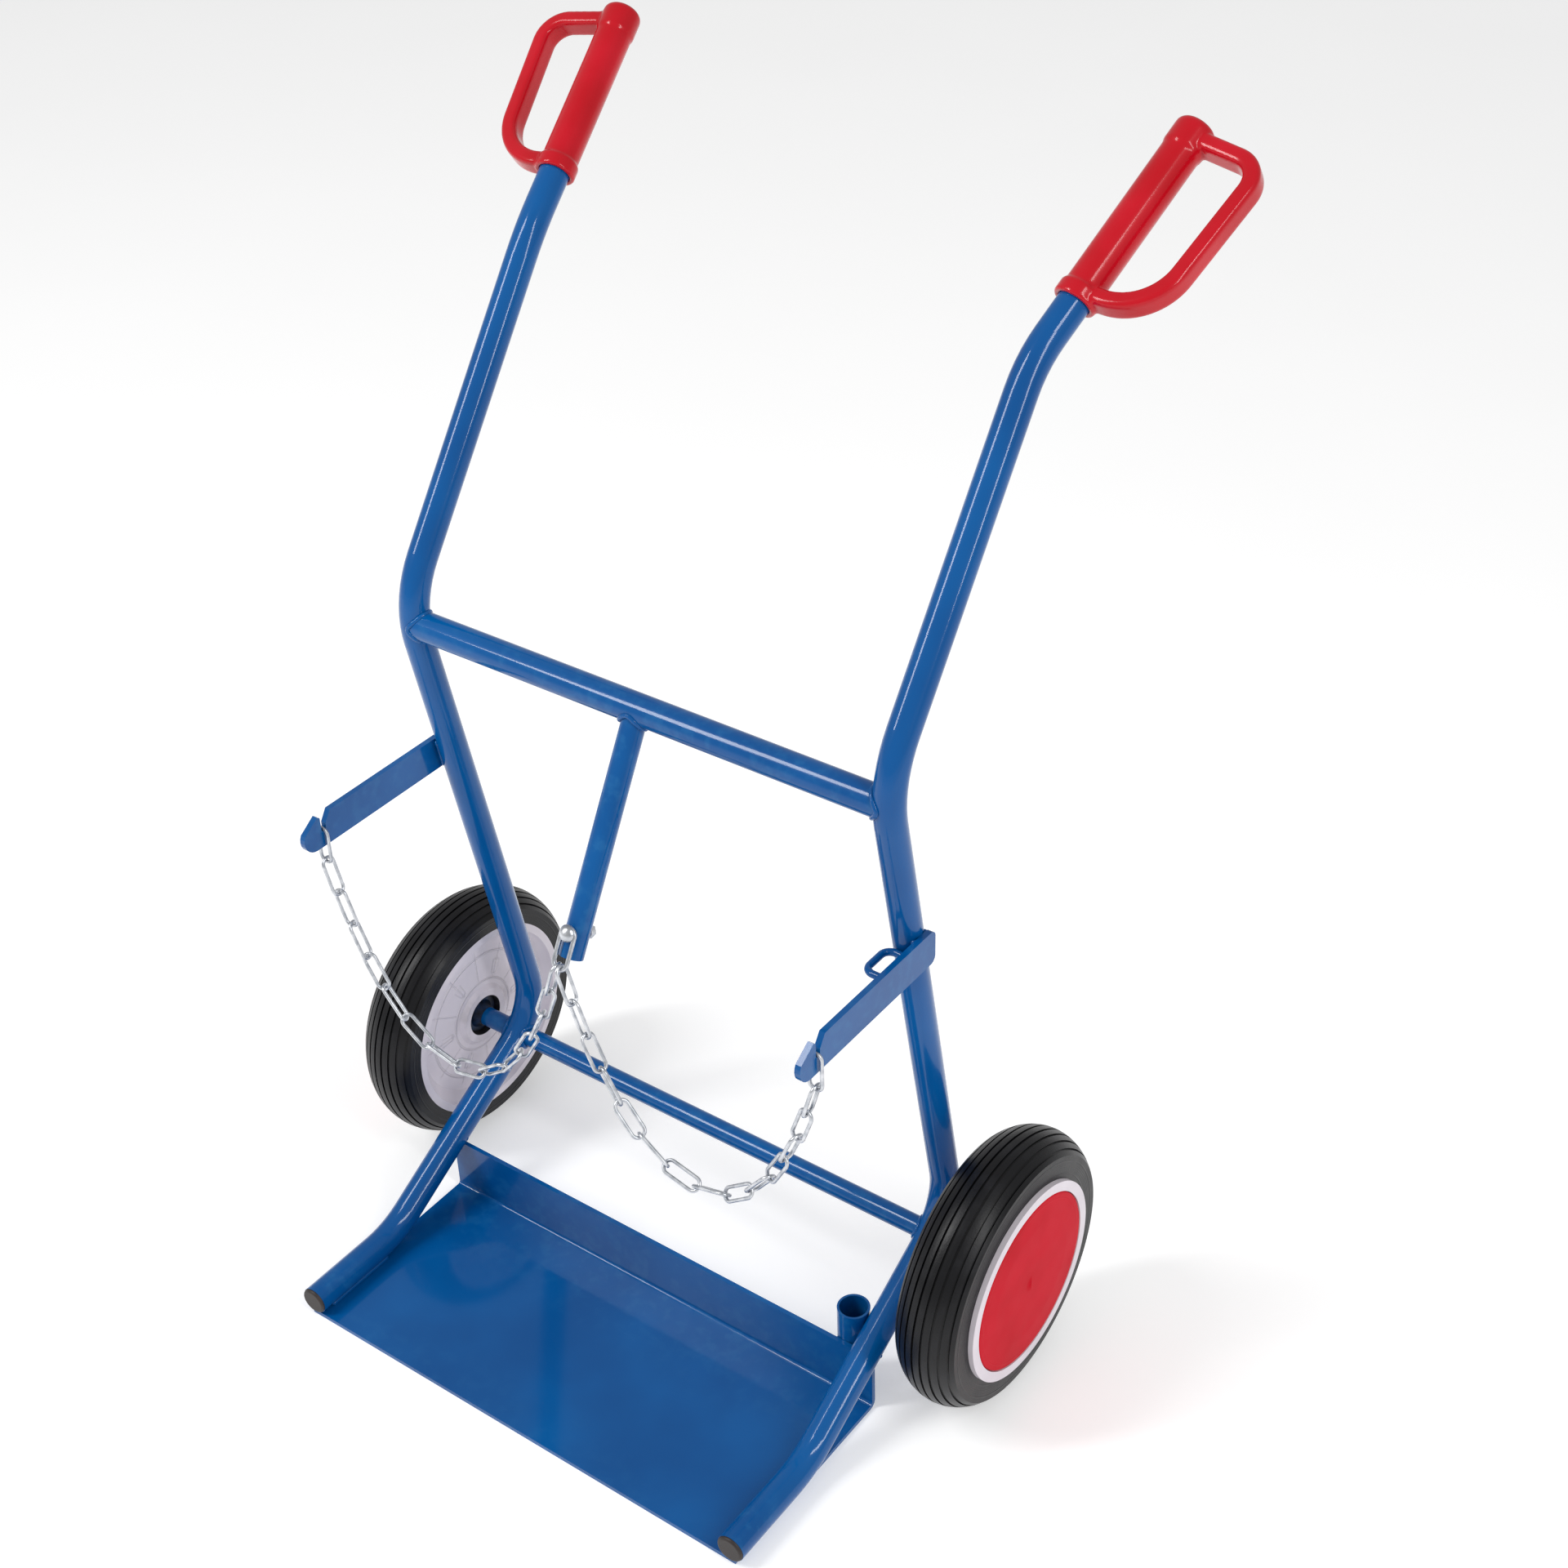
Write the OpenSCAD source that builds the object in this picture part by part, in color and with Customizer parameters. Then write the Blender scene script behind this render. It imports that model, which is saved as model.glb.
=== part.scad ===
// Hand truck for two gas cylinders: a bent tube frame on two solid rubber wheels, with a toe plate,
// two chains that hook onto flat bar arms, and a holder for welding rods on the right.
// X runs across the truck, -Y is the front, +Z is up. The origin is on the floor under the axle.

/* [Wheels and axle] */
// Outer diameter of each solid rubber tyre
wheel_d = 244; // [220:1:280]
// Width of each tyre
tyre_w = 56; // [50:1:66]
// Outer diameter of the plastic rim on its inner side
rim_d = 190; // [176:1:196]
// Diameter of the ring of rim that shows round the hub cap
ring_d = 177; // [168:1:180]
// Diameter of the red hub cap
cap_d = 158; // [140:1:160]
// Diameter of the axle rod
axle_d = 18; // [14:0.5:20]
// Clear distance between a side tube and the tyre beside it
wheel_gap = 23; // [20:1:40]
// Number of grooves round each tread
groove_count = 8; // [2:1:9]

/* [Frame tubes] */
// Outer diameter of the side tubes and the crossbar
tube_d = 25; // [22:0.5:28]
// Wall thickness of all the tubes
tube_wall = 2; // [1.5:0.25:2.5]
// Distance between the centre lines of the two side tubes
frame_w = 458; // [380:1:560]
// Slope of the tube between the foot and the heel bend, from level
rise_angle = 29.5; // [26:0.5:32]
// Forward lean of the tube between the heel and the knee, from upright
lean_angle = 11; // [6:0.5:14]
// Backward slope of the tube above the knee, from upright
back_angle = 36; // [30:0.5:42]
// Backward slope of the handles, from upright
handle_angle = 54; // [46:0.5:60]
// Outward slope of the handles
splay_angle = 8.5; // [4:0.5:12]
// Length between the heel bend's corner and the knee bend's corner
shin_len = 489; // [400:1:600]
// Length between the knee bend's corner and the neck bend's corner
back_len = 310; // [240:1:400]
// Length of the handle from the neck bend's corner to the tube's end
handle_len = 203; // [200:1:240]
// Centre line radius of the heel bend, which the axle passes through
heel_r = 60; // [55:1:75]
// Centre line radius of the knee and foot bends
knee_r = 90; // [70:1:110]
// Centre line radius of the neck bend
neck_r = 130; // [90:1:150]

/* [Toe plate] */
// Reach of the toe plate past the centre line of each side tube
plate_past = 4; // [2:1:12]
// Thickness of the sheet
plate_t = 4; // [3:0.5:6]
// Reach of the toe plate in front of the axle
plate_front = 287; // [250:1:330]
// Distance from the axle forward to the back of the upright flange
flange_back = 92; // [80:1:100]
// Height of the upright flange
flange_h = 59; // [40:1:62]

/* [Chain post and hook arms] */
// Outer diameter of the post
post_d = 20; // [16:0.5:22]
// Length of the post from the middle of the crossbar
post_len = 200; // [160:1:240]
// Forward slope of the post, from upright
post_angle = 29.5; // [20:0.5:36]
// Diameter of the bolt through the post
bolt_d = 6; // [5:0.5:6]
// Drop from the crossbar's centre line to the hook arms' middle
arm_drop = 140; // [120:1:160]
// Width of the flat bar of the hook arms
arm_h = 30; // [26:1:34]
// Thickness of the flat bar of the hook arms
arm_t = 5; // [4:0.5:6]
// Reach of the hook arms in front of the axle
arm_front = 201; // [190:1:230]
// Width of the slot that holds the end link
slot_w = 5; // [4.5:0.5:6]

/* [Chains] */
// Wire diameter of the chain
wire_d = 3; // [2.5:0.25:3.25]
// Inner length of a link
link_in = 31; // [30:0.5:36]
// Outer width of a link
link_w = 14; // [13.5:0.5:16]
// Wire diameter of the link on the bolt
shackle_wire = 3.5; // [3:0.25:3.5]
// Outer width of the link on the bolt
shackle_w = 16.5; // [16:0.5:18]

/* [Rod holder] */
// Outer diameter of the rod cup
cup_d = 28; // [22:1:28]
// Height of the rod cup's rim above the floor
cup_top = 87; // [70:1:100]
// Height of the rod cup's foot above the floor
cup_foot = 8; // [4:1:20]
// Rod diameter of the guide eye
eye_d = 6; // [5:0.5:7]
// Length of the guide eye from leg to leg
eye_len = 30; // [24:1:40]
// Reach of the guide eye inward from the arm
eye_reach = 22; // [20:1:26]

/* [Grips] */
// Outer diameter of the grip's sleeve
grip_d = 29.5; // [29:0.5:32]
// Length of the grip from its lower end to its upper end
grip_len = 158; // [150:1:180]
// Reach of the knuckle guard from the handle's centre line to the strap's middle
guard_reach = 64; // [58:1:76]
// Thickness of the guard's strap
strap_t = 13; // [10:0.5:14]
// Width of the guard's strap
strap_w = 19; // [15:0.5:21]

/* [Hidden] */

$fn = 96;
weld_gap = 0.1;
fit_gap = 0.05;
seat_gap = 0.3;
lap = 0.15;
lap_swell = 1.001;

steel_blue = "#0a4f8f";
plain_steel = "#b9bcc0";
red_plastic = "#c81022";
grey_plastic = "#c8c1cb";
rubber_black = "#1c1c1e";
plug_black = "#241d1b";

half_w = frame_w / 2;
tube_r = tube_d / 2;
bore_d = tube_d - 2 * tube_wall;
plate_w = frame_w + 2 * plate_past;
axle_z = wheel_d / 2;
foot_z = plate_t + weld_gap + tube_r;

// A direction in the side plane, given by its slope from level or its lean from upright
function level_up(angle) = [0, cos(angle), sin(angle)];
function upright(angle) = [0, sin(angle), cos(angle)];

rise_dir = level_up(rise_angle);
shin_dir = upright(-lean_angle);
back_dir = upright(back_angle);
handle_dir = [sin(splay_angle), 0, 0] + cos(splay_angle) * upright(handle_angle);

// The axle passes through the start of the heel bend, a little below the tube's centre line
axle_below = 2.5;
heel_into = 12.5;
heel_turn = 90 + lean_angle - rise_angle;
heel_centre = [half_w, 0, axle_z] - (heel_r + axle_below) * level_up(rise_angle + heel_into - 90);
heel = heel_centre + heel_r / cos(heel_turn / 2) * level_up(rise_angle + heel_turn / 2 - 90);
foot_end = [half_w, -plate_front, foot_z];
foot_bend = heel - rise_dir * (heel.z - foot_z) / rise_dir.z;
knee = heel + shin_len * shin_dir;
neck = knee + back_len * back_dir;
handle_end = neck + handle_len * handle_dir;

// The crossbar meets the side tubes where the knee bend reaches furthest forward
knee_turn = lean_angle + back_angle;
knee_centre = knee - knee_r * tan(knee_turn / 2) * shin_dir + knee_r * level_up(lean_angle);
cross_y = knee_centre.y - knee_r;
cross_z = knee_centre.z;

// The post hangs from the crossbar; its bolt lies square to it, pointing back and down
post_dir = -upright(post_angle);
bolt_dir = level_up(-post_angle);
post_top = [0, cross_y, cross_z];
bolt_up = 20;
bolt_mid = post_top + (post_len - bolt_up) * post_dir;

// Hook arms lie against the outside of the side tubes, the guide eye against the right one's front
arm_in = half_w + tube_r + weld_gap;
arm_x = arm_in + arm_t / 2;
arm_z = cross_z - arm_drop;
arm_bottom = arm_z - arm_h / 2;
arm_top = arm_z + arm_h / 2;
shin_y = heel.y - (arm_z - heel.z) * tan(lean_angle);
arm_past = 9;
arm_back = shin_y + arm_past;
slot_from_nose = 22;
slot_y = slot_from_nose - arm_front;
neck_h = 14;
slot_floor = arm_bottom + neck_h;
eye_back = shin_y - tube_r / cos(lean_angle) - weld_gap - eye_d / 2;

// The link on the bolt, the links in the hook slots, and the chord of each chain between them
head_off = post_d / 2 + 2 * seat_gap + shackle_wire;
shackle_mid = bolt_mid - (post_d / 2 + seat_gap + shackle_wire / 2) * bolt_dir
    + (link_in / 2 - bolt_d / 2 - fit_gap) * post_dir;
hang_x = 2.1;
shackle_arc = (shackle_w - shackle_wire) / 2;
hang_drop = (link_in + shackle_wire) / 2 - shackle_arc + sqrt(pow(shackle_arc, 2) - pow(hang_x, 2));
hook_bend = link_w / 2 - wire_d;
hook_rise = hook_bend - sqrt(pow(hook_bend, 2) - pow(arm_t / 2 + fit_gap, 2));
hook_link_z = slot_floor + fit_gap + hook_rise - link_in / 2;
chain_from = shackle_mid + [hang_x, 0, 0] + hang_drop * post_dir;
chain_to = [arm_x, slot_y, hook_link_z - (link_in + wire_d) / 2];

// Links in each chain; an even number, so the chain takes one extra quarter twist on its way
link_count = 14;
link_play = 0.35;
link_pitch = link_in - link_play;
link_twist = 90 + 90 / (link_count - 1);
chord = norm(chain_to - chain_from);

// In a hanging chain of equal links the slopes grow in equal steps; the step is found by halving
function link_slope(i, step) = atan(step * (i - (link_count - 1) / 2));
function span(step) = link_pitch * sum_of([for (i = [0 : link_count - 1]) cos(link_slope(i, step))]);
function sum_of(v) = v * [for (x = v) 1];
function slope_step(low, high, turns_left) =
    turns_left == 0 ? (low + high) / 2
    : span((low + high) / 2) > chord ? slope_step((low + high) / 2, high, turns_left - 1)
    : slope_step(low, (low + high) / 2, turns_left - 1);

// Wheels, measured outward along the axle from the middle plane of each tyre
wheel_x = half_w + tube_r + wheel_gap + tyre_w / 2;
hub_in = -20.5;
bush_in = -12;
hub_out = 10;
hub_r = 27;
bush_r = axle_d / 2 + 4;
washer_t = 3;
pin_d = 4;
pin_out = hub_out + 2 * seat_gap + washer_t + pin_d / 2;
axle_end = wheel_x + pin_out + 6;
lip_proud = 4.5;
lip_out = tyre_w / 2 + lip_proud;

function unit(v) = v / norm(v);

// A level direction square to v
function beside(v) = unit(cross(abs(v.z) < 0.9 ? [0, 0, 1] : [0, 1, 0], v));

// Turns for rotate() that carry X onto x and Z onto z
function turns(x, z) =
    abs(x.z) > 0.9999999 ? [atan2(-sign(x.z) * cross(z, x).x, cross(z, x).y), -90 * sign(x.z), 0]
    : [atan2(cross(z, x).z, z.z), -asin(x.z), atan2(x.y, x.x)];

// Points of a round stretch of an outline
function arc(centre, r, from, to) =
    [for (i = [0 : 8]) centre + r * [cos(from + (to - from) * i / 8), sin(from + (to - from) * i / 8)]];

function run_dir(path, i) = unit(path[i + 1] - path[i]);
function run_turn(path, i) = acos(run_dir(path, i) * run_dir(path, i + 1));
function run_trim(path, bends, i) =
    i < 0 || i > len(path) - 3 ? 0 : bends[i] * tan(run_turn(path, i) / 2);

// The side to which the path bends after run i, and the roll from one bend's side to the next
function bend_side(path, i) =
    unit(run_dir(path, i + 1) - cos(run_turn(path, i)) * run_dir(path, i));
function bend_roll(path, i, side) =
    i > len(path) - 4 ? 0
    : atan2(cross(side, bend_side(path, i + 1)) * run_dir(path, i + 1), side * bend_side(path, i + 1));

// Sweeps a flat section, the same on both sides of its axes, along runs joined by round bends
module sweep(path, bends) {
    translate(path[0])
        rotate(turns(bend_side(path, 0), run_dir(path, 0)))
            sweep_run(path, bends, 0)
                children();
}

// Run i and all that follows it; Z points along the run and X into the bend at its end. Each run
// is a hair thicker than the bends and laps over their ends, so that they join as one piece.
module sweep_run(path, bends, i) {
    run = norm(path[i + 1] - path[i]) - run_trim(path, bends, i - 1) - run_trim(path, bends, i);
    first_lap = i == 0 ? 0 : lap;
    last_lap = i == len(path) - 2 ? 0 : lap;
    translate([0, 0, -first_lap])
        linear_extrude(first_lap + run + last_lap)
            scale(lap_swell)
                children();
    if (i < len(path) - 2) {
        turn = run_turn(path, i);
        side = cos(turn) * bend_side(path, i) - sin(turn) * run_dir(path, i);
        translate([bends[i], 0, run]) {
            rotate([90, 0, 180])
                rotate_extrude(angle = turn)
                    translate([bends[i], 0])
                        children();
            rotate([0, turn, 0])
                translate([-bends[i], 0, 0])
                    rotate([0, 0, bend_roll(path, i, side)])
                        sweep_run(path, bends, i + 1)
                            children();
        }
    }
}

// A cylinder from one point to another
module rod(from, to, d) {
    translate(from)
        rotate(turns(beside(unit(to - from)), unit(to - from)))
            cylinder(d = d, h = norm(to - from));
}

// Pieces are drawn for the right side (1) and mirrored for the left side (-1)
module on_side(side) {
    mirror([(1 - side) / 2, 0, 0])
        children();
}

// Turned pieces of a wheel: the outline is drawn as radius and distance outward
module turned(side) {
    on_side(side)
        translate([wheel_x, 0, axle_z])
            rotate([0, 90, 0])
                rotate_extrude()
                    children();
}

// The course of a side tube, longer at both ends by past
module side_path(d, past = 0) {
    sweep([foot_end - [0, past, 0], foot_bend, heel, knee, neck, handle_end + past * handle_dir],
          [knee_r, heel_r, knee_r, neck_r])
        circle(d = d);
}

// One length of tube with four bends, drilled for the axle at the heel
module side_tube(side) {
    color(steel_blue)
        on_side(side)
            difference() {
                side_path(tube_d);
                side_path(bore_d, 1);
                rod([half_w - tube_d, 0, axle_z], [half_w + tube_d, 0, axle_z], axle_d + 2 * fit_gap);
            }
}

// Straight tube between the knees, its ends cut to fit round the side tubes
module crossbar() {
    cut_in = half_w - tube_wall;
    color(steel_blue)
        difference() {
            rod([-cut_in, cross_y, cross_z], [cut_in, cross_y, cross_z], tube_d);
            rod([-half_w, cross_y, cross_z], [half_w, cross_y, cross_z], bore_d);
            for (side = [-1, 1])
                on_side(side)
                    side_path(tube_d + 2 * weld_gap);
        }
}

// Leaning post that carries the chain bolt between the two cylinders
module chain_post() {
    color(steel_blue)
        difference() {
            rod(post_top, post_top + post_len * post_dir, post_d);
            rod(post_top, post_top + (post_len + 1) * post_dir, post_d - 2 * tube_wall);
            rod([-post_d, cross_y, cross_z], [post_d, cross_y, cross_z], tube_d + 2 * weld_gap);
            rod(bolt_mid - post_d * bolt_dir, bolt_mid + post_d * bolt_dir, bolt_d + 2 * weld_gap);
        }
}

// Round bar through both heels, drilled near its ends for the split pins
module axle() {
    color(steel_blue)
        difference() {
            rod([-axle_end, 0, axle_z], [axle_end, 0, axle_z], axle_d);
            for (side = [-1, 1])
                translate([side * (wheel_x + pin_out), 0, axle_z - axle_d])
                    cylinder(d = pin_d, h = 2 * axle_d);
        }
}

// One sheet folded up along its back edge; the side tubes lie on it and cross over the fold
module toe_plate() {
    fold_r = 3;
    fold_mid = [-flange_back - plate_t - fold_r, plate_t + fold_r];
    color(steel_blue)
        difference() {
            translate([-plate_w / 2, 0, 0])
                rotate([90, 0, 90])
                    linear_extrude(plate_w)
                        polygon(concat(
                            [[-plate_front, 0]],
                            arc(fold_mid, plate_t + fold_r, 270, 360),
                            [[-flange_back, flange_h], [-flange_back - plate_t, flange_h]],
                            arc(fold_mid, fold_r, 360, 270),
                            [[-plate_front, plate_t]]
                        ));
            for (side = [-1, 1])
                on_side(side)
                    side_path(tube_d + 2 * weld_gap);
        }
}

// Push-in plug in the open foot of a side tube
module foot_plug(side) {
    plug_r = bore_d / 2 - fit_gap;
    head_t = 2.5;
    color(plug_black)
        on_side(side)
            translate([half_w, -plate_front - weld_gap, foot_z])
                rotate([90, 0, 0])
                    rotate_extrude()
                        polygon(concat(
                            [[0, -14], [plug_r - 1, -14], [plug_r, -13], [plug_r, 0], [tube_r - 0.3, 0]],
                            arc([tube_r - 0.3 - head_t, 0], head_t, 10, 90),
                            [[0, head_t]]
                        ));
}

// Flat bar on edge; a slot near its front end holds the end link of a chain
module hook_arm(side) {
    end_r = 6;
    nose_r = 13;
    color(steel_blue)
        on_side(side)
            translate([arm_in, 0, 0])
                rotate([90, 0, 90])
                    linear_extrude(arm_t)
                        polygon(concat(
                            arc([arm_back - end_r, arm_bottom + end_r], end_r, 270, 360),
                            arc([arm_back - end_r, arm_top - end_r], end_r, 0, 90),
                            [[slot_y + 9, arm_top], [slot_y + slot_w / 2, arm_top - 10]],
                            arc([slot_y, slot_floor + slot_w / 2], slot_w / 2, 0, -180),
                            [[slot_y - slot_w / 2, arm_top - 2], [slot_y - slot_w / 2 - 2.5, arm_top]],
                            arc([nose_r - arm_front, arm_bottom + nose_r], nose_r, 150, 270)
                        ));
}

// Short upright tube behind the flange that takes the ends of the welding rods
module rod_cup() {
    color(steel_blue)
        cup_place()
            difference() {
                cylinder(d = cup_d, h = cup_top - cup_foot);
                translate([0, 0, -1])
                    cylinder(d = cup_d - 2 * tube_wall, h = cup_top - cup_foot + 2);
            }
}

// Round plate that closes the foot of the cup
module rod_cup_base() {
    color(steel_blue)
        cup_place()
            cylinder(d = cup_d - 2 * tube_wall - 2 * fit_gap, h = tube_wall);
}

module cup_place() {
    cup_x = half_w - tube_r - weld_gap - cup_d / 2;
    cup_y = cup_d / 2 + weld_gap - flange_back;
    translate([cup_x, cup_y, cup_foot])
        children();
}

// Rod bent to a U in front of the right tube; the welding rods stand through it
module rod_guide_eye() {
    eye_x = half_w + tube_r - eye_reach;
    eye_front = eye_back - eye_len;
    end_x = arm_in - weld_gap;
    color(steel_blue)
        sweep([[end_x, eye_back, arm_z], [eye_x, eye_back, arm_z],
               [eye_x, eye_front, arm_z], [end_x, eye_front, arm_z]], [8, 8])
            circle(d = eye_d);
}

module on_bolt(off) {
    translate(bolt_mid + off * bolt_dir)
        rotate(turns([1, 0, 0], bolt_dir))
            children();
}

bolt_head_d = 14;
bolt_head_h = 4.5;
bolt_washer_t = 1.5;
nut_off = post_d / 2 + 2 * weld_gap + bolt_washer_t;
nut_across = 10;
nut_h = 5;
nut_dome_h = 4;
bolt_in_nut = 6;

// Round-headed bolt through the post and the link in front of it
module chain_bolt() {
    dome_r = (pow(bolt_head_d / 2, 2) + pow(bolt_head_h, 2)) / (2 * bolt_head_h);
    color(plain_steel)
        on_bolt(-head_off) {
            cylinder(d = bolt_d, h = head_off + nut_off + bolt_in_nut);
            intersection() {
                translate([0, 0, dome_r - bolt_head_h])
                    sphere(dome_r);
                translate([0, 0, -bolt_head_h])
                    cylinder(d = bolt_head_d + 1, h = bolt_head_h);
            }
        }
}

module bolt_washer() {
    color(plain_steel)
        on_bolt(nut_off - weld_gap - bolt_washer_t)
            difference() {
                cylinder(d = 2 * bolt_d, h = bolt_washer_t);
                translate([0, 0, -1])
                    cylinder(d = bolt_d + 2 * weld_gap, h = bolt_washer_t + 2);
            }
}

// Domed nut behind the post
module cap_nut() {
    dome_r = nut_across / 2 - 0.5;
    color(plain_steel)
        on_bolt(nut_off)
            difference() {
                union() {
                    cylinder(d = nut_across / cos(30), h = nut_h, $fn = 6);
                    translate([0, 0, nut_h + nut_dome_h - dome_r])
                        sphere(dome_r);
                    cylinder(r = dome_r, h = nut_h + nut_dome_h - dome_r);
                }
                translate([0, 0, -1])
                    cylinder(d = bolt_d + 2 * fit_gap, h = bolt_in_nut + 1.5);
            }
}

// A link standing along Z with its width along X
module link(wire, width) {
    bend = (width - wire) / 2;
    straight = link_in + wire - 2 * bend;
    for (end = [0, 180])
        rotate([0, end, 0])
            translate([0, 0, straight / 2])
                rotate([90, 0, 0])
                    rotate_extrude(angle = 180)
                        translate([bend, 0])
                            circle(d = wire);
    for (leg = [-bend, bend])
        translate([leg, 0, -straight / 2])
            cylinder(d = wire, h = straight);
}

// Heavier link that hangs on the bolt and holds both chains
module shackle_link() {
    color(plain_steel)
        translate(shackle_mid)
            rotate(turns([1, 0, 0], -post_dir))
                link(shackle_wire, shackle_w);
}

// End link lying in the slot of a hook arm, round its neck
module hook_link(side) {
    color(plain_steel)
        on_side(side)
            translate([arm_x, slot_y, hook_link_z])
                link(wire_d, link_w);
}

// The links between the shackle and a hook, hanging in their natural curve
module chain(side) {
    step = slope_step(0, 9, 30);
    slopes = [for (i = [0 : link_count - 1]) link_slope(i, step)];
    mids = [
        for (i = [0 : link_count - 1])
            link_pitch * sum_of_dirs(slopes, i) + [0, 0, (shackle_wire + link_play) / 2]
    ];
    along = unit(chain_to - chain_from);
    color(plain_steel)
        on_side(side)
            translate(chain_from)
                rotate(turns(along, unit([0, 0, 1] - along.z * along)))
                    for (i = [0 : link_count - 1]) {
                        dir = [cos(slopes[i]), 0, sin(slopes[i])];
                        wide = cos(i * link_twist) * [0, 1, 0]
                            + sin(i * link_twist) * cross(dir, [0, 1, 0]);
                        translate(mids[i])
                            rotate(turns(wide, dir))
                                link(wire_d, link_w);
                    }
}

// Middle of link i, in link lengths from the start of the chain
function sum_of_dirs(slopes, i) = [
    sum_of([for (j = [0 : i]) cos(slopes[j])]) - cos(slopes[i]) / 2,
    0,
    sum_of([for (j = [0 : i]) sin(slopes[j])]) - sin(slopes[i]) / 2
];

grip_past = 6;

// Plastic sleeve on the end of a handle, moulded in one piece with its knuckle guard
module grip(side) {
    top = handle_len + grip_past;
    low = top - grip_len;
    bore_r = tube_r + weld_gap;
    sleeve_r = grip_d / 2;
    collar_r = sleeve_r + 2;
    edge_r = 4;
    edge_x = strap_t / 2 - edge_r;
    edge_y = strap_w / 2 - edge_r;
    color(red_plastic)
        on_side(side)
            translate(neck)
                rotate(turns(unit([1, 0, 0] - handle_dir.x * handle_dir), handle_dir))
                    difference() {
                        union() {
                            rotate_extrude()
                                polygon(concat(
                                    [[0, low], [collar_r - 1, low], [collar_r, low + 1]],
                                    [[collar_r, low + 11], [sleeve_r, low + 13]],
                                    [[sleeve_r, top - 24], [collar_r - 1, top - 22]],
                                    arc([collar_r - 7, top - 6], 6, 0, 90),
                                    [[0, top]]
                                ));
                            sweep([[6, 0, top - 12], [guard_reach + 1, 0, top - 15],
                                   [guard_reach - 7, 0, low + 11], [6, 0, low + 9]],
                                  [20, 42])
                                polygon(concat(
                                    arc([edge_x, edge_y], edge_r, 0, 90),
                                    arc([-edge_x, edge_y], edge_r, 90, 180),
                                    arc([-edge_x, -edge_y], edge_r, 180, 270),
                                    arc([edge_x, -edge_y], edge_r, 270, 360)
                                ));
                        }
                        translate([0, 0, low - 1])
                            cylinder(r = bore_r, h = handle_len + weld_gap - low + 1);
                    }
}

// Washers welded to the axle inside each wheel
module stop_washers() {
    color(steel_blue)
        for (side = [-1, 1])
            turned(side)
                polygon([
                    [axle_d / 2 + fit_gap, bush_in - seat_gap], [axle_d, bush_in - seat_gap],
                    [axle_d, bush_in - seat_gap - washer_t],
                    [axle_d / 2 + 5, bush_in - seat_gap - washer_t],
                    [axle_d / 2 + 0.5, bush_in - seat_gap - washer_t - 8],
                    [axle_d / 2 + fit_gap, bush_in - seat_gap - washer_t - 8]
                ]);
}

module outer_washers() {
    color(plain_steel)
        for (side = [-1, 1])
            turned(side)
                translate([axle_d / 2 + seat_gap, hub_out + seat_gap])
                    square([axle_d / 3, washer_t]);
}

// Split pins through the axle ends, their eyes on top
module split_pins() {
    shank_d = pin_d - 2 * fit_gap;
    color(plain_steel)
        for (side = [-1, 1])
            translate([side * (wheel_x + pin_out), 0, axle_z]) {
                translate([0, 0, -axle_d * 0.8])
                    cylinder(d = shank_d, h = axle_d * 1.5);
                translate([0, 0, axle_d * 0.7 + shank_d])
                    rotate([0, 90, 0])
                        rotate_extrude()
                            translate([shank_d - 0.9, 0])
                                circle(d = 1.8);
            }
}

tyre_gap = weld_gap;
crown_r = 0.65 * tyre_w;
groove_deep = 2;
groove_wide = 2;
groove_spread = 84;

// Solid rubber tyre with a rounded crown and grooves round the tread
module tyre(side) {
    color(rubber_black)
        turned(side)
            difference() {
                intersection() {
                    polygon([
                        [rim_d / 2 + tyre_gap, -tyre_w / 2], [wheel_d / 2, -tyre_w / 2],
                        [wheel_d / 2, tyre_w / 2], [ring_d / 2 + tyre_gap, tyre_w / 2]
                    ]);
                    translate([wheel_d / 2 - crown_r, 0])
                        circle(crown_r);
                }
                for (i = [0 : groove_count - 1])
                    translate([wheel_d / 2 - crown_r, 0])
                        rotate((i / (groove_count - 1) - 0.5) * groove_spread)
                            translate([crown_r - groove_deep, -groove_wide / 2])
                                square([2 * groove_deep, groove_wide]);
            }
}

// Moulded rim: a tapered barrel, a web near its inner side and a hub
module rim(side) {
    pocket_r = cap_d / 2 + 0.5;
    color(grey_plastic)
        turned(side)
            polygon([
                [rim_d / 2, -tyre_w / 2], [ring_d / 2, tyre_w / 2], [ring_d / 2, lip_out],
                [pocket_r, lip_out], [pocket_r, -8],
                [hub_r + 6, -6], [hub_r, hub_out - 4], [hub_r - 3, hub_out],
                [bush_r + fit_gap, hub_out], [bush_r + fit_gap, bush_in],
                [hub_r - 7, bush_in], [hub_r - 7, hub_in],
                [hub_r, hub_in], [hub_r + 4, -17], [pocket_r - 2, -15],
                [rim_d / 2 - 9, -tyre_w / 2 + 3], [rim_d / 2 - 7, -tyre_w / 2]
            ]);
}

// Plain bearing sleeve pressed into the hub
module bush(side) {
    color(plug_black)
        turned(side)
            translate([axle_d / 2 + fit_gap, bush_in])
                square([bush_r - axle_d / 2 - fit_gap, hub_out - bush_in]);
}

// Flat cap that closes the outer side of the rim
module hub_cap(side) {
    cap_r = cap_d / 2;
    cap_t = 2.5;
    color(red_plastic)
        turned(side)
            polygon(concat(
                [[0, lip_out + 0.8], [cap_r * 0.7, lip_out + 0.6]],
                arc([cap_r - 2, lip_out - 2], 2, 80, 0),
                [[cap_r, lip_out - 10], [cap_r - cap_t, lip_out - 10]],
                [[cap_r - cap_t, lip_out - cap_t - 1], [0, lip_out - cap_t]]
            ));
}

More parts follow.
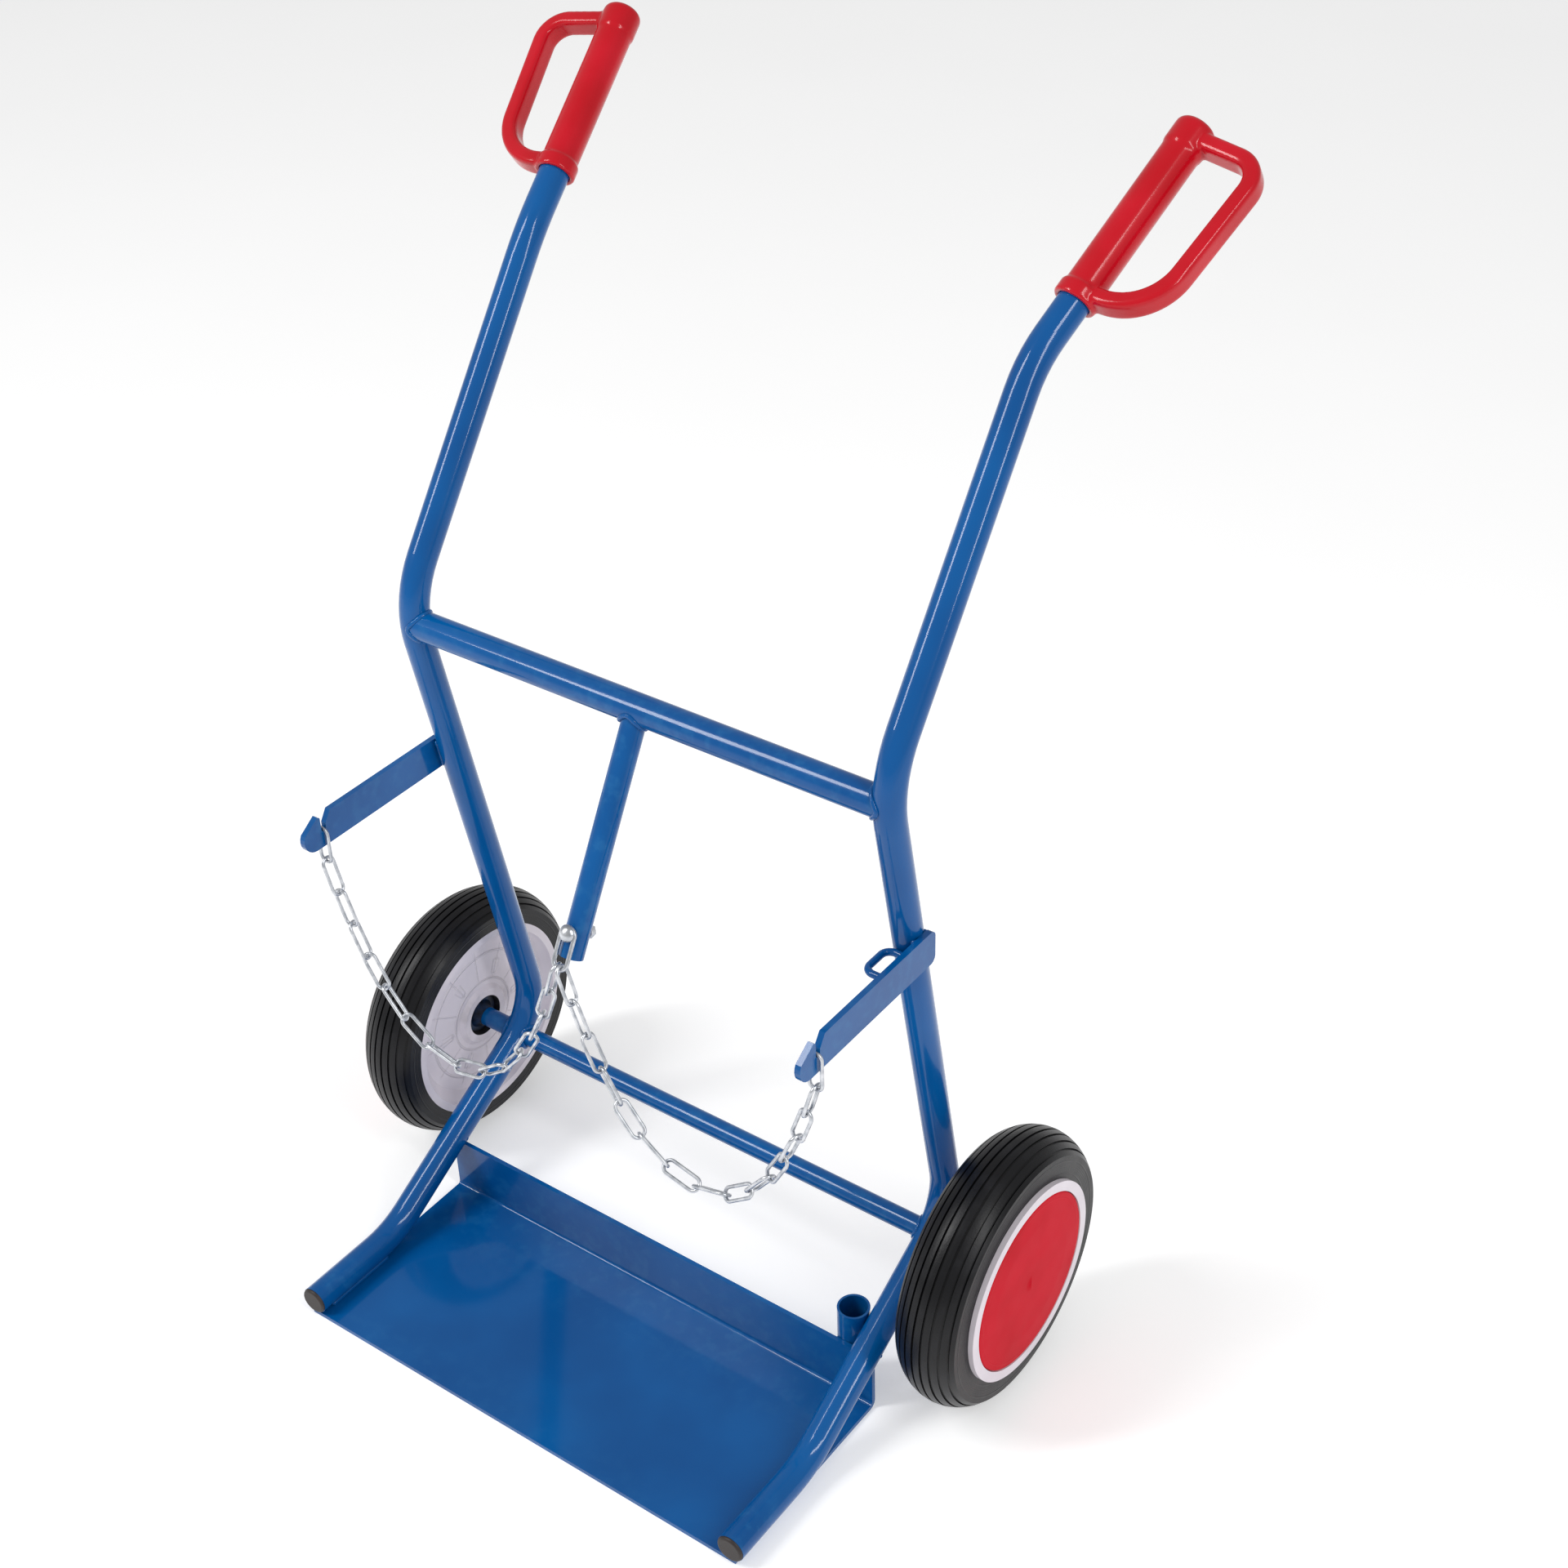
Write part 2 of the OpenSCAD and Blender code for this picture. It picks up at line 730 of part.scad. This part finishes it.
side_tube(-1);  // side_tube_left
side_tube(1);  // side_tube_right
crossbar();
chain_post();
axle();
toe_plate();
foot_plug(-1);  // foot_plug_left
foot_plug(1);  // foot_plug_right
hook_arm(-1);  // hook_arm_left
hook_arm(1);  // hook_arm_right
rod_cup();
rod_cup_base();
rod_guide_eye();
chain_bolt();
bolt_washer();
cap_nut();
shackle_link();
hook_link(-1);  // hook_link_left
hook_link(1);  // hook_link_right
chain(-1);  // chain_left
chain(1);  // chain_right
grip(-1);  // grip_left
grip(1);  // grip_right
stop_washers();
outer_washers();
split_pins();
tyre(-1);  // tyre_left
tyre(1);  // tyre_right
rim(-1);  // rim_left
rim(1);  // rim_right
bush(-1);  // bush_left
bush(1);  // bush_right
hub_cap(-1);  // hub_cap_left
hub_cap(1);  // hub_cap_right
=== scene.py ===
"""A hand truck for two gas cylinders, standing on a pale studio floor.

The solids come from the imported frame. This file gives them their finishes and adds what was run,
moulded or rolled onto them: weld beads, tyre markings, the relief of the rims and the floor.
"""

import math

import bmesh
import bpy
from mathutils import Matrix, Vector, noise


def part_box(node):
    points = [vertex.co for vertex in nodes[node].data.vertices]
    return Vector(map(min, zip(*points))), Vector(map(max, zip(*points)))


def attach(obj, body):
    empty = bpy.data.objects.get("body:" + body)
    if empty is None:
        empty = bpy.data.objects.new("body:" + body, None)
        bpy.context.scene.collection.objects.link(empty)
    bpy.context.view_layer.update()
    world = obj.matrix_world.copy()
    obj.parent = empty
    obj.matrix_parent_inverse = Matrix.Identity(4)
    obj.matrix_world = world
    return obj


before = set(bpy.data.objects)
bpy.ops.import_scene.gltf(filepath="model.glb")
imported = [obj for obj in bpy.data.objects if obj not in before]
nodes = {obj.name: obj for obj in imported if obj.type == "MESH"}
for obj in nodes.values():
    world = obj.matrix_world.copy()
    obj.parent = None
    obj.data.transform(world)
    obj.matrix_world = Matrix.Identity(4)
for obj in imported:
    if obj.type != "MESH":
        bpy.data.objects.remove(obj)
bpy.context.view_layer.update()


# --- Bent frame -----------------------------------------------------------------------------
# Side tubes, crossbar, post, axle, plate, arms, cup and eye are mild steel, welded together and
# then sprayed in one coat of gentian blue enamel. The coat is glossy with a faint orange peel.


class Socket:
    """One output of a material's nodes, so that shader sums can be written as sums."""

    def __init__(self, tree, out=None):
        self.tree = tree
        self.out = out

    def node(self, kind, settings=None, inputs=None, out=0):
        """Adds a node: its settings are set first, then its inputs are set or linked."""
        made = self.tree.nodes.new("ShaderNode" + kind)
        for name, value in (settings or {}).items():
            setattr(made, name, value)
        for name, value in (inputs or {}).items():
            if isinstance(value, Socket):
                self.tree.links.new(value.out, made.inputs[name])
            else:
                made.inputs[name].default_value = value
        return Socket(self.tree, made.outputs[out])

    def math(self, operation, *values):
        return self.node("Math", {"operation": operation}, dict(enumerate(values)))

    def __add__(self, other):
        return self.math("ADD", self, other)

    def __radd__(self, other):
        return self.math("ADD", other, self)

    def __sub__(self, other):
        return self.math("SUBTRACT", self, other)

    def __rsub__(self, other):
        return self.math("SUBTRACT", other, self)

    def __mul__(self, other):
        return self.math("MULTIPLY", self, other)

    def __rmul__(self, other):
        return self.math("MULTIPLY", other, self)

    def __truediv__(self, other):
        return self.math("DIVIDE", self, other)

    def __rtruediv__(self, other):
        return self.math("DIVIDE", other, self)

    def ramp(self, low, high):
        """0 below low, 1 above high, smooth between."""
        return self.node(
            "MapRange", {"interpolation_type": "SMOOTHSTEP"}, {0: self, 1: low, 2: high}
        )

    def band(self, middle, width):
        """1 at middle, falling to 0 within width on both sides."""
        return 1 - self.math("ABSOLUTE", self - middle).ramp(0.0, width)

    def mix(self, low, high):
        """From colour low to colour high as this value goes from 0 to 1."""
        return self.node("Mix", {"data_type": "RGBA"}, {0: self, 6: low, 7: high}, out=2)

    def noise(self, place, scale, detail=2.0):
        return self.node("TexNoise", None, {"Vector": place, "Scale": scale, "Detail": detail})


def rgb(red, green, blue):
    """A paint-chart colour, 0 to 255 a channel, as a linear colour."""
    return tuple(
        (c / 255 / 12.92) if c < 10.3 else ((c / 255 + 0.055) / 1.055) ** 2.4
        for c in (red, green, blue)
    ) + (1.0,)


def finish_of(name, **fixed):
    """A new material; gives it with its start, its object coordinates and its shader."""
    mat = bpy.data.materials.new(name)
    mat.use_nodes = True
    shader = mat.node_tree.nodes["Principled BSDF"]
    for key, value in fixed.items():
        shader.inputs[key.replace("_", " ")].default_value = value
    start = Socket(mat.node_tree)
    place = start.node("TexCoord", out=3)
    return mat, start, place, shader


def feed(shader, name, value):
    value.tree.links.new(value.out, shader.inputs[name])


def bumped(start, shader, height, distance):
    """Height in 0 to 1, raised by distance metres."""
    feed(shader, "Normal", start.node("Bump", None, {"Height": height, "Distance": distance}))


blue, start, place, shader = finish_of(
    "blue_enamel", IOR=1.12, Coat_Roughness=0.09, Coat_IOR=1.38
)
cloud = start.noise(place, 7.0, 3.0)
peel = start.noise(place, 520.0)
speck = start.noise(place, 1400.0)
rubbed = start.noise(place, 90.0, 4.0).ramp(0.45, 0.7)
edge = start.node("NewGeometry", out=7).ramp(0.53, 0.62) * rubbed
tone = cloud.ramp(0.3, 0.7).mix(rgb(0, 76, 140), rgb(0, 88, 155))
worn = (edge * 0.35).mix(tone, rgb(40, 110, 165))
feed(shader, "Base Color", worn)
feed(shader, "Roughness", 0.26 + 0.1 * start.noise(place, 24.0, 4.0) + 0.05 * edge)
feed(shader, "Coat Weight", 0.75 + 0.25 * cloud)
bumped(start, shader, 0.8 * peel + 0.2 * speck, 0.00006)

BLUE_NODES = (
    "side_tube_left side_tube_right crossbar chain_post axle toe_plate hook_arm_left"
    " hook_arm_right rod_cup rod_cup_base rod_guide_eye"
).split()


def paint(mat, names):
    """Puts a finish on CAD nodes, in the slots that they came with."""
    for name in names:
        mesh = nodes[name].data
        for i in range(max(1, len(mesh.materials))):
            if mesh.materials:
                mesh.materials[i] = mat
            else:
                mesh.materials.append(mat)


paint(blue, BLUE_NODES)


# --- Welds ----------------------------------------------------------------------------------
# Every joint of the frame is closed by a run of weld, ground little and painted over, so it
# shows as a soft, slightly rippled fillet round the foot of each tube.


def centre_of(node):
    low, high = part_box(node)
    return (low + high) / 2


RIPPLE = 0.0022


def bead(name, path, thick, closed=False, body="frame"):
    """A run of weld along a path: a round string with ripples across it."""
    made = bmesh.new()
    count, around = len(path), 10
    rings = []
    travelled = 0.0
    for i, here in enumerate(path):
        before = path[i - 1] if closed or i else here
        after = path[(i + 1) % count] if closed or i < count - 1 else here
        along = (after - before).normalized()
        travelled += (here - before).length
        side = along.orthogonal().normalized()
        up = along.cross(side)
        end = 1.0 if closed else min(1.0, 0.45 + 0.3 * min(i, count - 1 - i))
        ripple = 1 + 0.05 * math.sin(travelled / RIPPLE * 2 * math.pi)
        rough = 1 + 0.12 * noise.noise(here * 260.0)
        r = thick / 2 * end * ripple * rough
        ring = []
        for k in range(around):
            angle = 2 * math.pi * k / around
            ring.append(made.verts.new(here + r * (math.cos(angle) * side + math.sin(angle) * up)))
        rings.append(ring)
    for i in range(count if closed else count - 1):
        a, b = rings[i], rings[(i + 1) % count]
        # rings may start at different angles, so join each point to its nearest
        shift = min(range(around), key=lambda s: (a[0].co - b[s].co).length)
        for k in range(around):
            n = (k + 1) % around
            made.faces.new((a[k], a[n], b[(n + shift) % around], b[(k + shift) % around]))
    if not closed:
        made.faces.new(rings[0])
        made.faces.new(list(reversed(rings[-1])))
    bmesh.ops.recalc_face_normals(made, faces=made.faces)
    mesh = bpy.data.meshes.new(name)
    made.to_mesh(mesh)
    made.free()
    for face in mesh.polygons:
        face.use_smooth = True
    mesh.materials.append(blue)
    piece = bpy.data.objects.new(name, mesh)
    bpy.context.collection.objects.link(piece)
    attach(piece, body)


def line(start_at, end_at, step=0.0008):
    count = max(2, round((end_at - start_at).length / step))
    return [start_at.lerp(end_at, i / (count - 1)) for i in range(count)]


def saddle(root, out, tube_dir, tube_r, branch_r, offset=0.0):
    """Where a branch of radius branch_r, leaving along out from the centre line of a tube
    of radius tube_r, comes out of the tube. The branch may stand off the centre line."""
    across = out.cross(tube_dir).normalized()
    points = []
    count = 110
    for i in range(count):
        angle = 2 * math.pi * i / count
        p = offset + branch_r * math.cos(angle)
        depth = math.sqrt(max(0.0, tube_r**2 - p**2))
        points.append(
            root + across * (p - offset) + tube_dir * branch_r * math.sin(angle) + out * depth
        )
    return points


bar_low, bar_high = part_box("crossbar")
tube_r = (bar_high.z - bar_low.z) / 2
bar_mid = centre_of("crossbar")
tube_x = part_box("side_tube_right")[0].x + tube_r
axle_low, axle_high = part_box("axle")
axle_r = (axle_high.z - axle_low.z) / 2
axle_z = centre_of("axle").z
arm_low, arm_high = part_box("hook_arm_right")
eye_low, eye_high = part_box("rod_guide_eye")
cup_low, cup_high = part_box("rod_cup")
plate_low, plate_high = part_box("toe_plate")
post_low, post_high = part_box("chain_post")

shin_lean = math.radians(11.0)
heel_slope = math.radians(42.0)
post_lean = math.radians(29.5)
axle_below = 0.0025
ring_weld = 0.0042
side_weld = 0.0045
shin_dir = Vector((0, -math.sin(shin_lean), math.cos(shin_lean)))
heel_dir = Vector((0, math.cos(heel_slope), math.sin(heel_slope)))
post_dir = -Vector((0, math.sin(post_lean), math.cos(post_lean)))
post_r = (post_high.x - post_low.x) / 2

post_foot = saddle(bar_mid, post_dir, Vector((1, 0, 0)), tube_r, post_r + 0.001)
bead("weld_post", post_foot, ring_weld, True)
for tag, side in (("left", -1), ("right", 1)):
    x = Vector((side, 0, 0))
    tube_at = Vector((side * tube_x, bar_mid.y, bar_mid.z))
    bead(
        "weld_crossbar_" + tag,
        saddle(tube_at, -x, Vector((0, 0, 1)), tube_r + 0.0002, tube_r - 0.0002),
        ring_weld,
        True,
    )
    heel_at = Vector((side * tube_x, 0, axle_z))
    for where, out in (("inner", -x), ("outer", x)):
        flip = -1 if out.cross(heel_dir).z < 0 else 1
        bead(
            f"weld_axle_{where}_{tag}",
            saddle(heel_at, out, heel_dir, tube_r, axle_r + 0.0012, -axle_below * flip),
            ring_weld,
            True,
        )
    arm_in = side * arm_low.x
    for where, reach in (("front", -1), ("back", 1)):
        shift = Vector((-side * 0.0022, reach * 0.0072, 0))
        foot = Vector((arm_in, arm_high.y - 0.009, (arm_low.z + arm_high.z) / 2)) + shift
        half = ((arm_high.z - arm_low.z) / 2 - 0.001) * shin_dir
        bead(f"weld_arm_{where}_{tag}", line(foot - half, foot + half), 0.005)
    low = Vector((side * (tube_x - 0.0075), plate_low.y + 0.012, 0.0055))
    bead(f"weld_foot_in_{tag}", line(low, low + Vector((0, 0.07, 0))), side_weld)
    flange_top = Vector((side * tube_x, plate_high.y - 0.002, plate_high.z + 0.0005))
    bead(
        f"weld_flange_{tag}",
        [
            flange_top + Vector((0.0118 * math.sin(a), 0, 0.0115 * (1 - math.cos(a))))
            for a in (math.radians(5 * k - 75) for k in range(31))
        ],
        side_weld,
    )

cup_mid = (cup_low + cup_high) / 2
cup_r = (cup_high.x - cup_low.x) / 2
for reach in (-1, 1):
    low = Vector((cup_mid.x + reach * 0.0075, plate_high.y + 0.0022, cup_low.z + 0.004))
    high = Vector((low.x, low.y, plate_high.z - 0.002))
    bead(f"weld_cup_{'left' if reach < 0 else 'right'}", line(low, high), side_weld)
eye_r = (eye_high.z - eye_low.z) / 2
for tag, y in (("back", eye_high.y - eye_r), ("front", eye_low.y + eye_r)):
    centre = Vector((arm_low.x - 0.0004, y, (eye_low.z + eye_high.z) / 2))
    ring = [
        centre + (eye_r + 0.0006) * Vector((0, math.cos(a), math.sin(a)))
        for a in (2 * math.pi * k / 60 for k in range(60))
    ]
    bead("weld_eye_" + tag, ring, 0.0026, True)


# --- Foot plugs -----------------------------------------------------------------------------
# Soft black polyethylene plugs, pushed into the open feet of the side tubes. They carry a fine
# spark-eroded grain and a little scuffing from the floor.

plug, start, place, shader = finish_of("plug_plastic")
scuff = start.noise(place, 60.0, 5.0).ramp(0.5, 0.75)
feed(shader, "Base Color", (0.5 * scuff).mix(rgb(38, 30, 28), rgb(88, 74, 66)))
feed(shader, "Roughness", 0.5 + 0.25 * scuff)
bumped(start, shader, start.noise(place, 900.0), 0.00008)
paint(plug, ["foot_plug_left", "foot_plug_right", "bush_left", "bush_right"])


# --- Chains, bolt and nut -------------------------------------------------------------------
# Bright zinc-plated steel wire and fastenings. The plating is silvery with a light bloom, and
# each link's wire is a little rough from bending and tumbling.

zinc, start, place, shader = finish_of("zinc_plate", Metallic=1.0)
bloom = start.noise(place, 140.0, 4.0)
feed(shader, "Base Color", bloom.ramp(0.3, 0.7).mix(rgb(178, 182, 188), rgb(222, 224, 228)))
feed(shader, "Roughness", 0.22 + 0.22 * bloom)
bumped(start, shader, start.noise(place, 700.0, 3.0), 0.00008)
paint(
    zinc,
    "chain_left chain_right shackle_link hook_link_left hook_link_right chain_bolt bolt_washer"
    " cap_nut outer_washers split_pins".split(),
)


# --- Grips ----------------------------------------------------------------------------------
# Red moulded plastic, each sleeve in one piece with its knuckle guard. The moulding has soft
# fillets where the strap leaves the sleeve, and a satin skin with a very fine grain.

red, start, place, shader = finish_of(
    "red_plastic", IOR=1.15, Coat_Roughness=0.14, Coat_IOR=1.36
)
flow = start.noise(place, 16.0, 3.0)
feed(shader, "Base Color", flow.ramp(0.3, 0.7).mix(rgb(184, 6, 24), rgb(198, 12, 34)))
feed(shader, "Roughness", 0.3 + 0.12 * start.noise(place, 40.0, 4.0))
feed(shader, "Coat Weight", 0.7 + 0.3 * flow)
bumped(start, shader, start.noise(place, 1100.0), 0.00005)
paint(red, ["grip_left", "grip_right"])

for name in ("grip_left", "grip_right"):
    remesh = nodes[name].modifiers.new("moulded", "REMESH")
    remesh.mode = "VOXEL"
    remesh.voxel_size = 0.0009
    remesh.use_smooth_shade = True
    soften = nodes[name].modifiers.new("fillets", "SMOOTH")
    soften.factor = 0.5
    soften.iterations = 14


# --- Tyres ----------------------------------------------------------------------------------
# Solid black rubber with grooves round the tread. The mould leaves fine rings on the side walls
# and the rubber has a dull bloom that picks up a little dust.



def about_axle(start, place):
    """How far a point lies behind and above the axle, and its distance from it."""
    away = start.node("SeparateXYZ", None, {0: place}, out=1)
    height = start.node("SeparateXYZ", None, {0: place}, out=2) - axle_z
    return away, height, start.math("SQRT", away * away + height * height)


rubber, start, place, shader = finish_of("tyre_rubber", Specular_IOR_Level=0.3)
radius = about_axle(start, place)[2]
dust = start.noise(place, 45.0, 5.0)
feed(shader, "Base Color", dust.ramp(0.45, 0.8).mix(rgb(9, 9, 13), rgb(24, 24, 28)))
feed(shader, "Roughness", 0.26 + 0.22 * dust)
rings = start.math("SINE", radius * (2 * math.pi / 0.0016)) * radius.band(0.0995, 0.0045)
steps = radius.band(0.1038, 0.0009) + radius.band(0.0932, 0.0009)
bumped(start, shader, 0.12 * rings + 0.5 * steps + 0.25 * start.noise(place, 800.0), 0.0004)
paint(rubber, ["tyre_left", "tyre_right"])


# --- Rims -----------------------------------------------------------------------------------
# Pale grey injection-moulded wheel centres. The inner side shows a shallow dish with a raised
# ring, six low bosses and short ribs between them; the skin is matt with a fine grain.

pale, start, place, shader = finish_of("rim_plastic")
away, height, radius = about_axle(start, place)
turn = start.math("ARCTAN2", height, away)
sixth = start.math("COSINE", turn * 6)
boss = sixth.ramp(0.82, 0.95) * radius.band(0.048, 0.011).ramp(0.1, 0.5)
spokes = start.math("COSINE", turn * 12).ramp(0.985, 0.997)
ribs = spokes * radius.band(0.055, 0.022).ramp(0.05, 0.3)
ring = radius.band(0.0645, 0.0016) + radius.band(0.0365, 0.0014)
shade = start.noise(place, 12.0, 4.0)
grime = radius.band(0.029, 0.012) * start.noise(place, 70.0, 5.0).ramp(0.35, 0.7)
moulded = shade.ramp(0.3, 0.7).mix(rgb(216, 208, 216), rgb(230, 223, 230))
soiled = (0.3 * grime).mix(moulded, rgb(120, 112, 108))
# Inside a radius of 20 mm the pale plastic of the hub bore is painted near-black: painted shade in
# the hole.
bore_painted_shade = 1 - radius.ramp(0.0199, 0.0206)
feed(shader, "Base Color", bore_painted_shade.mix(soiled, rgb(16, 15, 18)))
feed(shader, "Roughness", 0.42 + 0.15 * shade)
relief = 0.6 * boss + 0.5 * ring + 0.35 * ribs + 0.02 * start.noise(place, 900.0)
bumped(start, shader, relief, 0.0018)
paint(pale, ["rim_left", "rim_right"])

# The stop washers carry the frame's blue, darkened to near-black blue as painted shade where they
# sit deep in the hub bore. A noise varies the tone, roughness and bump at random.
washer_shade, start, place, shader = finish_of("washer_painted_shade", IOR=1.3)
washer_mottle = start.noise(place, 120.0, 4.0)
feed(shader, "Base Color", washer_mottle.ramp(0.35, 0.7).mix(rgb(10, 16, 28), rgb(16, 40, 72)))
feed(shader, "Roughness", 0.3 + 0.25 * washer_mottle)
bumped(start, shader, washer_mottle, 0.0001)
paint(washer_shade, ["stop_washers"])


# --- Hub caps -------------------------------------------------------------------------------
# Flat red discs pressed into the outer side of each rim, of a duller plastic than the grips. They
# are moulded with a faint ring near the rim and show the fine swirl of the mould.

cap, start, place, shader = finish_of("cap_plastic", IOR=1.12)
radius = about_axle(start, place)[2]
flow = start.noise(place, 14.0, 3.0)
feed(shader, "Base Color", flow.ramp(0.3, 0.7).mix(rgb(188, 6, 28), rgb(202, 14, 38)))
feed(shader, "Roughness", 0.36 + 0.12 * start.noise(place, 60.0, 4.0))
swirl = start.math("SINE", radius * (2 * math.pi / 0.0011))
ring = radius.band(0.0735, 0.0009)
grain = start.noise(place, 900.0)
bumped(start, shader, 0.5 * ring + 0.03 * swirl + 0.08 * grain, 0.0002)
paint(cap, ["hub_cap_left", "hub_cap_right"])
for name in ("hub_cap_left", "hub_cap_right"):
    level = nodes[name].modifiers.new("level_face", "WEIGHTED_NORMAL")
    level.keep_sharp = True


# --- Floor, light and camera ----------------------------------------------------------------
# A pale matt studio floor under two tall strip lamps and an even sky. The camera looks down on
# the truck from its front right, a little tilted.

floor_mesh = bpy.data.meshes.new("studio_floor")
reach = 14.0
floor_mesh.from_pydata(
    [(-reach, -reach, 0), (reach, -reach, 0), (reach, reach, 0), (-reach, reach, 0)],
    [],
    [(0, 1, 2, 3)],
)
floor = bpy.data.objects.new("studio_floor", floor_mesh)
bpy.context.collection.objects.link(floor)
ground, start, place, shader = finish_of(
    "pale_floor", Roughness=0.9, Specular_IOR_Level=0.1, Emission_Strength=0.34
)
shader.inputs["Emission Color"].default_value = (1.0, 1.0, 1.0, 1.0)
mottle = start.noise(place, 2.0, 3.0)
feed(shader, "Base Color", mottle.mix(rgb(236, 236, 236), rgb(240, 240, 240)))
floor_mesh.materials.append(ground)

world = bpy.data.worlds.new("studio")
bpy.context.scene.world = world
world.use_nodes = True
sky = world.node_tree.nodes["Background"]
sky.inputs["Color"].default_value = (1.0, 1.0, 1.0, 1.0)
sky.inputs["Strength"].default_value = 0.5


def lamp(name, at, aim, size, power):
    light = bpy.data.lights.new(name, "AREA")
    light.shape = "RECTANGLE"
    light.size, light.size_y = size
    light.energy = power
    lit = bpy.data.objects.new(name, light)
    lit.location = at
    lit.rotation_euler = (Vector(aim) - Vector(at)).to_track_quat("-Z", "Y").to_euler()
    bpy.context.collection.objects.link(lit)


lamp("key", (-1.7, -2.0, 3.0), (0, 0, 0.5), (0.6, 2.2), 66)
lamp("strip", (2.6, -0.6, 2.3), (0, 0, 0.5), (0.35, 2.2), 34)

camera = bpy.data.cameras.new("camera")
camera.sensor_width = 36.0
camera.lens = 54.68
seen = bpy.data.objects.new("camera", camera)
bpy.context.collection.objects.link(seen)
azimuth, elevation, roll = math.radians(37.099), math.radians(34.659), math.radians(-1.888)
forward = Vector(
    (
        -math.sin(azimuth) * math.cos(elevation),
        math.cos(azimuth) * math.cos(elevation),
        -math.sin(elevation),
    )
)
right = forward.cross(Vector((0, 0, 1))).normalized()
up = right.cross(forward)
tilt_right = math.cos(roll) * right + math.sin(roll) * up
tilt_up = -math.sin(roll) * right + math.cos(roll) * up
seen.matrix_world = Matrix.Translation((0.9987, -1.2028, 1.5682)) @ (
    Matrix((tilt_right, tilt_up, -forward)).transposed().to_4x4()
)
bpy.context.scene.camera = seen
bpy.context.scene.view_settings.view_transform = "Standard"
